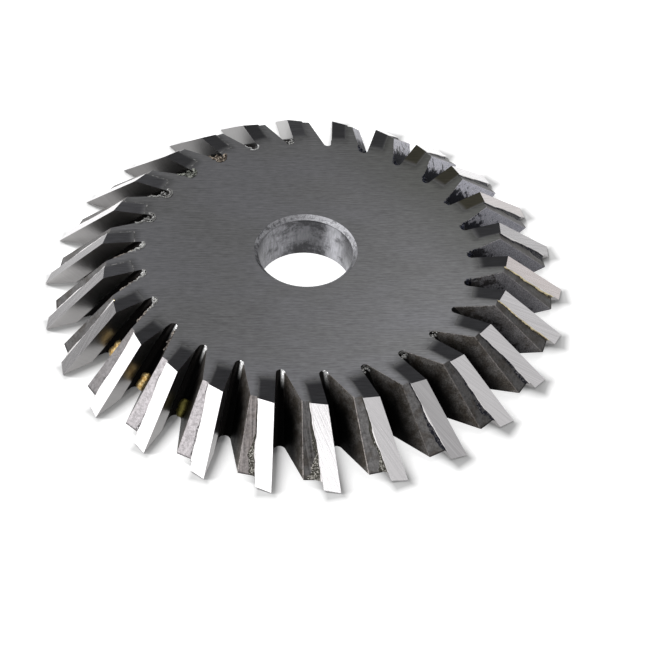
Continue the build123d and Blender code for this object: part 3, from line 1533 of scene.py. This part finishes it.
@dataclass(frozen=True)
class BurrFinish:
    """Rough lumps of two colours, with painted shade that darkens them down in the gullet."""

    colour: Colour
    other: Colour
    rough: float = 0.35
    # Painted shade: where lumps start to darken lower in the gullet
    shade_below: float = 14.0
    shade_fade: float = 0.9
    shade_share: float = 0.85
    grain: Grain = Grain.even(1.7, 4.0, 0.65)
    patch: Grain = Grain.even(1.1, 2.0, 0.5)
    patch_step: Span = (0.42, 0.58)
    least: float = 0.5
    grain_rough: float = 0.2
    grain_height: float = 0.04

    def material(self, name: str) -> bpy.types.Material:
        """The material of the lumps of one look.

        Args:
            name: The material's name.

        Returns:
            The material.
        """
        material, bench = material_bench(name)
        place = bench.place()
        grain = bench.noise(place, self.grain)
        patch = bench.noise(place, self.patch)
        colour = bench.blend(patch.rise(*self.patch_step), self.colour, self.other)
        # Painted shade: lumps lower in the gullet are darker
        lit = place[2].rise(self.shade_below, self.shade_below + self.shade_fade)
        lit = lit * self.shade_share + (1 - self.shade_share)
        colour = bench.shade(colour, (grain + self.least) * lit)
        rough = grain * self.grain_rough + self.rough
        bench.metal(colour, rough, bench.relief(grain * self.grain_height))
        return material


# A lump's rings between its poles, the points of a ring, and how far its surface swells
BALL_RINGS = 5
BALL_POINTS = 8
BALL_SWELL = 0.13
BALL_SMALL_SWELL = 0.08


def lumps(
    name: str, centres: np.ndarray, reach: np.ndarray, rng: np.random.Generator
) -> bpy.types.Object:
    """Small uneven balls in one mesh.

    Each ball is a grid of latitude and longitude closed by two poles: its centre plus the
    direction at that latitude and longitude, times a reach in x, y and z, times one plus
    two low sine waves of the two angles with random phases. Heights more than a burr's
    rise over the flat face are brought down to that.

    Args:
        name: The piece's name.
        centres: The balls' centres in millimetres, as balls by 3.
        reach: Their half sizes in x, y and z, as balls by 3.
        rng: The seeded random source.

    Returns:
        The piece.
    """
    rings, size, count = BALL_RINGS, BALL_POINTS, len(centres)
    latitude = np.linspace(0, pi, rings + 2)[None, :, None]
    longitude = np.linspace(0, 2 * pi, size, endpoint=False)[None, None, :]
    phases = rng.uniform(0, 2 * pi, (2, count, 1, 1))
    swell = 1 + BALL_SWELL * np.sin(2 * longitude + 3 * latitude + phases[0])
    swell = swell + BALL_SMALL_SWELL * np.sin(3 * longitude - 2 * latitude + phases[1])
    swell = 1 + (swell - 1) * np.sin(latitude)
    across = np.sin(latitude) * np.cos(longitude)
    aside = np.sin(latitude) * np.sin(longitude)
    above = np.cos(latitude) + longitude * 0
    ball = np.stack(np.broadcast_arrays(across * swell, aside * swell, above * swell), axis=-1)
    points = centres[:, None, None] + ball * reach[:, None, None]
    points[..., 2] = np.minimum(points[..., 2], SIZES.height + BURR_RISE)
    middle = points[:, 1:-1].reshape(count, -1, 3)
    poles = np.stack([points[:, 0, 0], points[:, -1, 0]], axis=1)
    points = np.concatenate([middle, poles], axis=1).reshape(-1, 3) * METRES
    return solid_piece(name, points, ball_faces(count, rings, size))


def ball_faces(count: int, rings: int, size: int) -> list[list[int]]:
    """The faces of balls whose vertices are rings in order, then the two poles.

    Args:
        count: How many balls.
        rings: Rings between the poles.
        size: Points of a ring.

    Returns:
        Each face's vertex numbers.
    """
    here = np.arange(size)
    after = (here + 1) % size
    row = np.arange(rings - 1)[:, None] * size
    quads = np.stack([row + here, row + size + here, row + size + after, row + after], axis=-1)
    top = np.stack([here, after, np.full(size, rings * size)], axis=-1)
    last = (rings - 1) * size
    bottom = np.stack([last + after, last + here, np.full(size, rings * size + 1)], axis=-1)
    starts = np.arange(count) * (rings * size + 2)
    faces = []
    for part in (quads.reshape(-1, 4), top, bottom):
        faces += (part[None] + starts[:, None, None]).reshape(-1, part.shape[1]).tolist()
    return faces


@dataclass(frozen=True)
class Rope:
    """A chain of overlapping lumps along the slope's top edge and round the root.

    It has the range of how far out along the slope the chain starts, its distance from
    the root's centre in root radii, the lumps' half size, the angle round the centre
    where it ends in half turns, and how far a lump strays.
    """

    run: Span
    curl: float
    thick: float
    end: float
    stray: float
    step: float = 0.14
    first_turn: float = 0.72
    turn_step: float = 0.06
    waves: Span = (2.6, 1.1)
    wave: float = 0.3
    sunk: float = 0.12
    thinner: float = 0.5
    round_thick: float = 1.1
    smaller: float = 3.0

    def lumps(self, rng: np.random.Generator) -> tuple[np.ndarray, np.ndarray]:
        """Where the chain's lumps are and how large.

        Even steps lead in along the slope's line to its foot, with an uneven wave to the
        side, then round the root's centre at a fixed distance. Each lump strays a little,
        and those far out along the slope are thinner.

        Args:
            rng: The seeded random source.

        Returns:
            The lumps' centres and half sizes, in the frame of the tooth on +X.
        """
        foot, along, into = TOOTH.slope_line(SIZES.height)
        centre, radius = TOOTH.root_circle(SIZES.height)
        least, most = self.run
        run = rng.uniform(least, most) if least < most else most
        out = np.arange(run, 0.0, -self.step)
        edge = foot + out[:, None] * along
        edge = edge - into * ripple(out, rng, self.waves)[:, None] * self.wave
        turns = np.arange(self.first_turn, self.end, self.turn_step) * pi
        ring = np.stack([np.cos(turns), np.sin(turns), turns * 0], axis=1) * radius * self.curl
        centres = np.concatenate([edge, centre + ring])
        centres = centres + rng.uniform(-self.stray, self.stray, centres.shape)
        centres[:, 2] -= self.sunk
        shares = [1 - self.thinner * out / run, np.full(len(turns), self.round_thick)]
        size = self.thick * np.concatenate(shares)[:, None]
        low, high = 1 - self.smaller * self.stray, 1 + self.stray
        return centres, size * rng.uniform(low, high, centres.shape)


def lowered(points: np.ndarray, depths: np.ndarray) -> np.ndarray:
    """Points moved down by a depth each."""
    return points - np.array([0, 0, 1]) * depths[:, None]


@dataclass(frozen=True)
class Heap:
    """A number of lumps, with the range of their half sizes."""

    count: int
    size: Span

    def sizes(self, rng: np.random.Generator) -> np.ndarray:
        """Random half sizes in x, y and z, one row per lump."""
        return rng.uniform(*self.size, (self.count, 3))


@dataclass(frozen=True)
class RootHeap(Heap):
    """Lumps round the gullet's root, near the flat face.

    It has the ranges of the angle round the root's centre in half turns, the distance
    from that centre in root radii, and the depth under the flat face.
    """

    turn: Span
    away: Span
    drop: Span

    def centres(self, rng: np.random.Generator) -> np.ndarray:
        """The lumps' centres, in the frame of the tooth on +X.

        Args:
            rng: The seeded random source.

        Returns:
            The root's centre plus a random distance in a random direction, lowered.
        """
        centre, radius = TOOTH.root_circle(SIZES.height)
        angles = rng.uniform(*self.turn, self.count) * pi
        reach = radius * rng.uniform(*self.away, self.count)
        ring = np.stack([np.cos(angles) * reach, np.sin(angles) * reach, angles * 0], axis=1)
        return lowered(centre + ring, rng.uniform(*self.drop, self.count))


@dataclass(frozen=True)
class EdgeHeap(Heap):
    """Lumps along the top edge of the heel slope, thicker towards the root.

    It has how far out along the slope they go, and how far they stray to its side.
    """

    reach: float
    spread: float
    crowding: float = 1.4
    inward: float = 0.6
    drop: Span = (0.05, 0.5)

    def centres(self, rng: np.random.Generator) -> np.ndarray:
        """The lumps' centres, in the frame of the tooth on +X.

        Args:
            rng: The seeded random source.

        Returns:
            Points a random way along the slope's line at the flat face and a small random
            distance to either side of it, lowered.
        """
        foot, along, into = TOOTH.slope_line(SIZES.height)
        out = self.reach * rng.uniform(0, 1, self.count) ** self.crowding - self.inward
        off = rng.uniform(-self.spread, self.spread / 2, self.count)
        points = foot + out[:, None] * along + off[:, None] * into
        return lowered(points, rng.uniform(*self.drop, self.count))


@dataclass(frozen=True)
class Fringe(Heap):
    """Lumps in a ragged fringe that hangs off the heel slope's top edge.

    It has the range of how far out along the slope they are, and how far the fringe goes
    into the gullet.
    """

    reach: Span
    spread: float
    waves: Span = (2.9, 1.3)
    wave: float = 0.8
    crowding: float = 1.3
    drop: float = 0.12
    fall: float = 0.7

    def centres(self, rng: np.random.Generator) -> np.ndarray:
        """The lumps' centres, in the frame of the tooth on +X.

        Each lies a random way along the slope's line at the flat face and off it into
        the gullet, by a distance that follows an uneven wave, more often near the edge,
        and the lower the further off it is.

        Args:
            rng: The seeded random source.

        Returns:
            The centres.
        """
        foot, along, into = TOOTH.slope_line(SIZES.height)
        out = rng.uniform(*self.reach, self.count)
        breadth = self.spread * (1 + self.wave * ripple(out, rng, self.waves))
        off = breadth * rng.uniform(0, 1, self.count) ** self.crowding
        points = foot + out[:, None] * along + off[:, None] * into
        return lowered(points, self.drop + off * self.fall)


@dataclass(frozen=True)
class Burr:
    """What is left at a gullet's end: a finish, perhaps a rope, and heaps of lumps."""

    finish: BurrFinish
    rope: Optional[Rope] = None
    heaps: tuple[Union[RootHeap, EdgeHeap], ...] = ()

    def lumps(self, rng: np.random.Generator) -> tuple[np.ndarray, np.ndarray]:
        """All its lumps: the rope's, then every heap's.

        Args:
            rng: The seeded random source, which gives all places before the heaps' sizes.

        Returns:
            The lumps' centres and half sizes, in the frame of the tooth on +X.
        """
        chains = [self.rope.lumps(rng)] if self.rope else []
        centres = [chain[0] for chain in chains] + [heap.centres(rng) for heap in self.heaps]
        sizes = [chain[1] for chain in chains] + [heap.sizes(rng) for heap in self.heaps]
        return np.concatenate(centres), np.concatenate(sizes)


# A bright lip along the gullet's end, a smooth cap on its root and loose crumbs
CRUMBLY_BURR = Burr(
    BurrFinish((0.23, 0.23, 0.226), (0.15, 0.148, 0.145), 0.5),
    Rope(run=(3.4, 4.6), curl=1.05, thick=0.44, end=1.3, stray=0.04),
    (
        RootHeap(18, (0.36, 0.52), turn=(0.6, 1.25), away=(0.3, 1.05), drop=(0.14, 0.3)),
        EdgeHeap(28, (0.1, 0.24), reach=6.6, spread=0.5),
    ),
)
# A thick curled lip that stands off the gullet's root, with darker lumps inside
CURLED_BURR = Burr(
    BurrFinish((0.16, 0.16, 0.157), (0.1, 0.098, 0.096), 0.55),
    Rope(run=(3.6, 5.0), curl=1.45, thick=0.55, end=1.55, stray=0.04),
    (RootHeap(18, (0.45, 0.65), turn=(0.0, 2.0), away=(0.0, 1.0), drop=(0.8, 1.1)),),
)
# A cluster of lumps over the gullet's root, with a chain along the slope
CLUSTER_ROPE = Rope(run=(2.8, 3.6), curl=1.45, thick=0.6, end=1.5, stray=0.08)
CLUSTER_HEAP = RootHeap(16, (0.3, 0.6), turn=(0.0, 2.0), away=(0.1, 1.1), drop=(0.4, 1.0))
TAN_BURR = Burr(
    BurrFinish((0.17, 0.145, 0.12), (0.05, 0.04, 0.032), 0.55), CLUSTER_ROPE, (CLUSTER_HEAP,)
)
PALE_BURR = Burr(
    BurrFinish((0.15, 0.153, 0.138), (0.05, 0.053, 0.046), 0.55), CLUSTER_ROPE, (CLUSTER_HEAP,)
)
# A small smooth bright cap on the worn end of the gullet's root
WORN_BURR = Burr(
    BurrFinish((0.5, 0.5, 0.5), (0.34, 0.34, 0.34), 0.3),
    heaps=(RootHeap(12, (0.16, 0.3), turn=(0.45, 1.05), away=(0.95, 1.08), drop=(0.2, 0.24)),),
)
# Dark residue that fills the gullet's end and creeps up the heel slope
SOOTY_BURR = Burr(
    BurrFinish((0.006, 0.007, 0.012), (0.022, 0.023, 0.03), 0.5),
    heaps=(
        RootHeap(26, (0.3, 0.75), turn=(0.35, 1.4), away=(0.3, 1.1), drop=(0.2, 3.4)),
        EdgeHeap(18, (0.15, 0.42), reach=3.8, spread=0.2),
    ),
)
# A smooth ring round the gullet's root
RINGED_BURR = Burr(
    BurrFinish((0.22, 0.22, 0.22), (0.13, 0.13, 0.13), 0.45),
    Rope(run=(2.4, 2.4), curl=1.25, thick=0.3, end=1.6, stray=0.01),
)
# Grey lumps that fill the gullet's root
STUBBY_BURR = Burr(
    BurrFinish((0.16, 0.158, 0.155), (0.045, 0.045, 0.043), 0.5),
    heaps=(RootHeap(22, (0.2, 0.42), turn=(0.0, 2.0), away=(0.2, 1.35), drop=(0.15, 0.5)),),
)
# A few small bright crumbs on the edge of the gullet's end
SMALL_BURR = Burr(
    BurrFinish((0.24, 0.24, 0.235), (0.04, 0.04, 0.038), 0.4),
    heaps=(EdgeHeap(12, (0.06, 0.16), reach=3.5, spread=0.2),),
)
BURRS = {
    BurrLook.CRUMBLY: CRUMBLY_BURR,
    BurrLook.CURLED: CURLED_BURR,
    BurrLook.TAN: TAN_BURR,
    BurrLook.PALE: PALE_BURR,
    BurrLook.WORN: WORN_BURR,
    BurrLook.SOOTY: SOOTY_BURR,
    BurrLook.RINGED: RINGED_BURR,
    BurrLook.STUBBY: STUBBY_BURR,
    BurrLook.SMALL: SMALL_BURR,
}
BURR_PLACES = {
    BurrLook.TAN: (10,),
    BurrLook.PALE: (11,),
    BurrLook.CURLED: (12, 13),
    BurrLook.CRUMBLY: (14, 15, 16),
    BurrLook.WORN: (17, 18, 19, 20, 21),
    BurrLook.SOOTY: (26, 1, 2, 3, 4, 5, 6),
    BurrLook.RINGED: (9,),
    BurrLook.STUBBY: (8, 22, 23, 24),
}


@dataclass(frozen=True)
class GulletBurrs:
    """Crumbs, lips and soot where the gullets run out at the flat face."""

    seed: int = 900

    def look(self, number: int) -> BurrLook:
        """Which look the burr in front of a numbered tooth has."""
        looks = [look for look, numbers in BURR_PLACES.items() if number in numbers]
        return looks[0] if looks else BurrLook.SMALL

    def build(self) -> list[bpy.types.Object]:
        """Builds and dresses the burrs of all gullets.

        Returns:
            The pieces.
        """
        coats = {k: burr.finish.material(f"gullet_burr_{k.value}") for k, burr in BURRS.items()}
        pieces = []
        for number in range(1, SIZES.teeth + 1):
            rng = np.random.default_rng(self.seed + number)
            look = self.look(number)
            centres, reach = BURRS[look].lumps(rng)
            centres = TOOTH.turned(centres, number) / METRES
            piece = lumps(f"gullet_burr_{number:02d}", centres, reach, rng)
            dress(piece, coats[look])
            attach(piece, BODY)
            pieces.append(piece)
        return pieces


@dataclass(frozen=True)
class SlopeCrumbs:
    """Brown crumbs that hang off the top edge of a few heel slopes."""

    teeth: tuple[int, ...] = (14, 15, 16, 17)
    fringe: Fringe = Fringe(130, (0.1, 0.26), reach=(1.2, 8.6), spread=0.55)
    finish: BurrFinish = BurrFinish((0.2, 0.178, 0.16), (0.055, 0.047, 0.042), 0.55, 13.6)
    seed: int = 950

    def build(self) -> list[bpy.types.Object]:
        """Builds and dresses the crumbs.

        Returns:
            The pieces.
        """
        coat = self.finish.material("slope_crumb_brown")
        pieces = []
        for number in self.teeth:
            rng = np.random.default_rng(self.seed + number)
            centres = TOOTH.turned(self.fringe.centres(rng), number) / METRES
            piece = lumps(f"slope_crumbs_{number:02d}", centres, self.fringe.sizes(rng), rng)
            dress(piece, coat)
            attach(piece, BODY)
            pieces.append(piece)
        return pieces


@dataclass(frozen=True)
class BrazePools:
    """Golden filler that ran down into the roots of a few gullets."""

    golden: BurrFinish = BurrFinish((0.3, 0.185, 0.06), (0.5, 0.385, 0.19), 0.35, 0.0)
    dull: BurrFinish = BurrFinish((0.07, 0.062, 0.018), (0.07, 0.062, 0.018), 0.45, 0.0)
    golden_teeth: tuple[int, ...] = (16, 17)
    dull_teeth: tuple[int, ...] = (18,)
    count: int = 6
    heights: Span = (2.9, 4.5)
    offset: Triple = (-0.25, 0.55, 0.0)
    reach: Triple = (1.55, 1.55, 1.6)
    uneven: Span = (0.94, 1.03)
    seed: int = 70

    def build(self) -> list[bpy.types.Object]:
        """Builds and dresses the pools, each a short stack of lumps in the root.

        Returns:
            The pieces.
        """
        golden = self.golden.material("braze_pool_golden")
        dull = self.dull.material("braze_pool_faint")
        pieces = []
        for number in self.golden_teeth + self.dull_teeth:
            rng = np.random.default_rng(self.seed + number)
            z = np.linspace(*self.heights, self.count)
            spots = [TOOTH.root_circle(float(height)) for height in z]
            centres = np.array([centre + np.array(self.offset) * radius for centre, radius in spots])
            reach = np.array([self.reach]) * rng.uniform(*self.uneven, (self.count, 1))
            centres = TOOTH.turned(centres, number) / METRES
            piece = lumps(f"braze_pool_{number:02d}", centres, reach, rng)
            dress(piece, golden if number in self.golden_teeth else dull)
            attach(piece, BODY)
            pieces.append(piece)
        return pieces


@dataclass(frozen=True)
class Cutter:
    """The solids of the frame, dressed in their finishes."""

    body: BodyFinish = BodyFinish()
    tip: TipFinish = TipFinish()
    seam: SeamFinish = SeamFinish()

    def dress(self) -> None:
        """Dresses the body, the tips and the seams."""
        dress_node("cutter_body", self.body.material())
        LOG.info("dressed cutter_body")
        tip, seam = self.tip.material(), self.seam.material()
        for number in range(1, SIZES.teeth + 1):
            dress_node(f"carbide_tip_{number:02d}", tip)
            dress_node(f"braze_seam_{number:02d}", seam)
        LOG.info("dressed %d tips and their seams", SIZES.teeth)


@dataclass(frozen=True)
class SoftLamp:
    """A flat lamp that faces the cutter, one metre away.

    Its direction is an azimuth from +X and an elevation in degrees. Its half width and
    half height are in metres.
    """

    name: str
    level: float
    azimuth: float
    elevation: float
    half_width: float
    half_height: float

    def build(self) -> None:
        """Builds the lamp, whose surface is as bright as its level."""
        azimuth, elevation = radians(self.azimuth), radians(self.elevation)
        level = cos(elevation)
        away = Vector((level * cos(azimuth), level * sin(azimuth), sin(elevation)))
        side = Vector((0, 0, 1)).cross(away).normalized()
        over = away.cross(side)
        lamp = bpy.data.lights.new(self.name, "AREA")
        lamp.shape = "RECTANGLE"
        lamp.size = 2 * self.half_width
        lamp.size_y = 2 * self.half_height
        lamp.energy = self.level * pi * lamp.size * lamp.size_y
        holder = bpy.data.objects.new(self.name, lamp)
        axes = Matrix((side, over, away)).transposed().to_4x4()
        holder.matrix_world = Matrix.Translation(away) @ axes
        bpy.context.scene.collection.objects.link(holder)


@dataclass(frozen=True)
class Studio:
    """A white floor, a broad lamp at the front left, two small ones behind and plain air.

    The floor glows for the camera alone, which paints the tips' shadows over the real ones: it
    hardly glows where each tip throws its shadow, fully away from the tips, and a little more under
    the bore as painted light that lifts the shade there. In mirroring steel it glows evenly.
    """

    floor_half: float = 3.0
    floor_drop: float = 0.0002
    floor_colour: float = 0.55
    shadow_glow: float = 0.03
    open_glow: float = 0.75
    shadow_slip: float = 1.1
    shadow_edge: float = 5.0
    mirror_glow: float = 0.8
    # Painted light: more glow under the bore, which lifts its shade
    bore_glow: float = 0.3
    bore_reach: Span = (19.0, 20.0)
    air_fill: float = 0.06
    left_lamp: SoftLamp = SoftLamp("left_lamp", 2.1, -140.0, 32.0, half_width=1.5, half_height=0.35)
    upper_lamp: SoftLamp = SoftLamp("upper_lamp", 5.0, 65.0, 56.5, half_width=0.22, half_height=0.22)
    back_lamp: SoftLamp = SoftLamp("back_lamp", 70.0, 136.0, 36.0, half_width=0.11, half_height=0.11)

    def build(self) -> None:
        """Builds the floor, the lamps and the surroundings."""
        self._floor()
        for lamp in (self.left_lamp, self.upper_lamp, self.back_lamp):
            lamp.build()
        self._air()
        bpy.context.scene.view_settings.view_transform = "Standard"
        LOG.info("built the studio")

    def _background_rays(self, bench: FinishBench) -> tuple[Channel, Channel]:
        """The rays that show the background, as two shares.

        Args:
            bench: The bench of the floor's or the world's tree.

        Returns:
            1 for the camera's rays, and 1 for glossy and passing ones.
        """
        rays = bench.node("ShaderNodeLightPath", {}, {}).outputs
        camera, glossy, through = (
            Channel(bench, rays[name])
            for name in ("Is Camera Ray", "Is Glossy Ray", "Is Transmission Ray")
        )
        return camera, bench.math("MAXIMUM", glossy, through)

    def _floor(self) -> None:
        """A flat white floor that keeps the object's shadow."""
        half = self.floor_half
        plan = ((-half, -half), (half, -half), (half, half), (-half, half))
        corners = [(x, y, -self.floor_drop) for x, y in plan]
        mesh = bpy.data.meshes.new("floor")
        mesh.from_pydata(corners, [], [(0, 1, 2, 3)])
        floor = bpy.data.objects.new("floor", mesh)
        bpy.context.scene.collection.objects.link(floor)
        material, bench = material_bench("white_floor")
        shade = (self.floor_colour,) * 3
        matt = bench.node("ShaderNodeBsdfDiffuse", {}, {"Color": shade}).outputs[0]
        x, y, _ = bench.place()
        radius = (x * x + y * y) ** 0.5
        # Painted shadow: less glow where each tip's shadow falls
        open_floor = self._beside_shadows(bench) * self.open_glow
        # Painted light under the bore
        under = radius.fall(*self.bore_reach) * self.bore_glow
        seen, mirrored = self._background_rays(bench)
        glow = seen * (open_floor + under + self.shadow_glow) + mirrored * self.mirror_glow
        light = bench.node("ShaderNodeEmission", {}, {"Strength": glow}).outputs[0]
        both = bench.node("ShaderNodeAddShader", {}, {0: matt, 1: light}).outputs[0]
        bench.node("ShaderNodeOutputMaterial", {}, {"Surface": both})
        dress(floor, material)

    def _beside_shadows(self, bench: FinishBench) -> Channel:
        """0 where a tip's painted shadow falls and 1 away from them.

        Each shadow is the tip's own outline on the floor, slipped away from the back lamp:
        a straight bar as wide as the tip is thick, which runs out along the rake plane and
        ends under the lower corner. Away from it, one less the square of the share of the
        shadow's breadth that is left.

        Args:
            bench: The floor's bench.

        Returns:
            The share of open floor.
        """
        x, y, _ = bench.place()
        heading = radians(self.back_lamp.azimuth)
        x = x + cos(heading) * self.shadow_slip
        y = y + sin(heading) * self.shadow_slip
        turn = bench.math("ROUND", bench.math("ARCTAN2", y, x) / SIZES.pitch) * SIZES.pitch
        ahead, aside = bench.math("COSINE", turn), bench.math("SINE", turn)
        across = x * ahead + y * aside - SIZES.face_radius
        sideways = y * ahead - x * aside
        out = across * cos(SIZES.rake) + sideways * sin(SIZES.rake) - SIZES.edge_reach
        behind = across * sin(SIZES.rake) - sideways * cos(SIZES.rake)
        half = SIZES.tip_thickness / 2
        distance = bench.past_corner(out, abs(behind - half) - half)
        return 1 - bench.math("MAXIMUM", 1 - distance / self.shadow_edge, 0.0) ** 2.0

    def _air(self) -> None:
        """Plain surroundings: white where they are seen, dimmer as light."""
        world = bpy.data.worlds.new("studio_air")
        world.use_nodes = True
        bench = FinishBench(world.node_tree)
        level = sum(self._background_rays(bench)) * (1 - self.air_fill) + self.air_fill
        air = bench.node("ShaderNodeBackground", {}, {"Color": (1.0, 1.0, 1.0), "Strength": level})
        bench.node("ShaderNodeOutputWorld", {}, {"Surface": air.outputs[0]})
        bpy.context.scene.world = world


@dataclass(frozen=True)
class PhotoCamera:
    """The camera at the photograph's place and angle."""

    place: Triple = (0.051, -314.406, 320.663)
    heading: float = 1.157
    down: float = 46.956
    roll: float = 2.572
    focal_pixels: float = 1544.36
    frame_pixels: float = 650.0
    sensor: float = 36.0
    near_clip: float = 0.01

    def build(self) -> None:
        """Sets the scene's camera."""
        heading, down, roll = (radians(a) for a in (self.heading, self.down, self.roll))
        level = Vector((cos(heading), -sin(heading), 0))
        forward = Vector((sin(heading) * cos(down), cos(heading) * cos(down), -sin(down)))
        upright = level.cross(forward)
        right = level * cos(roll) + upright * sin(roll)
        up = upright * cos(roll) - level * sin(roll)
        lens = bpy.data.cameras.new("photo_camera")
        lens.sensor_width = self.sensor
        lens.lens = self.focal_pixels * self.sensor / self.frame_pixels
        lens.clip_start = self.near_clip
        holder = bpy.data.objects.new("photo_camera", lens)
        axes = Matrix((right, up, -forward)).transposed().to_4x4()
        holder.matrix_world = Matrix.Translation(Vector(self.place) * METRES) @ axes
        bpy.context.scene.collection.objects.link(holder)
        bpy.context.scene.camera = holder
        LOG.info("set the camera")


def main() -> None:
    """Builds the camera, the studio, the finishes and the added pieces in order."""
    logging.basicConfig(level=logging.INFO, format="%(name)s: %(message)s")
    PhotoCamera().build()
    Studio().build()
    Cutter().dress()
    LOG.info("built %d braze beads", len(BrazeBeads().build()))
    LOG.info("built %d gullet burrs", len(GulletBurrs().build()))
    LOG.info("built %d slope crumb fringes", len(SlopeCrumbs().build()))
    LOG.info("built %d braze pools", len(BrazePools().build()))


if __name__ == "__main__":
    main()
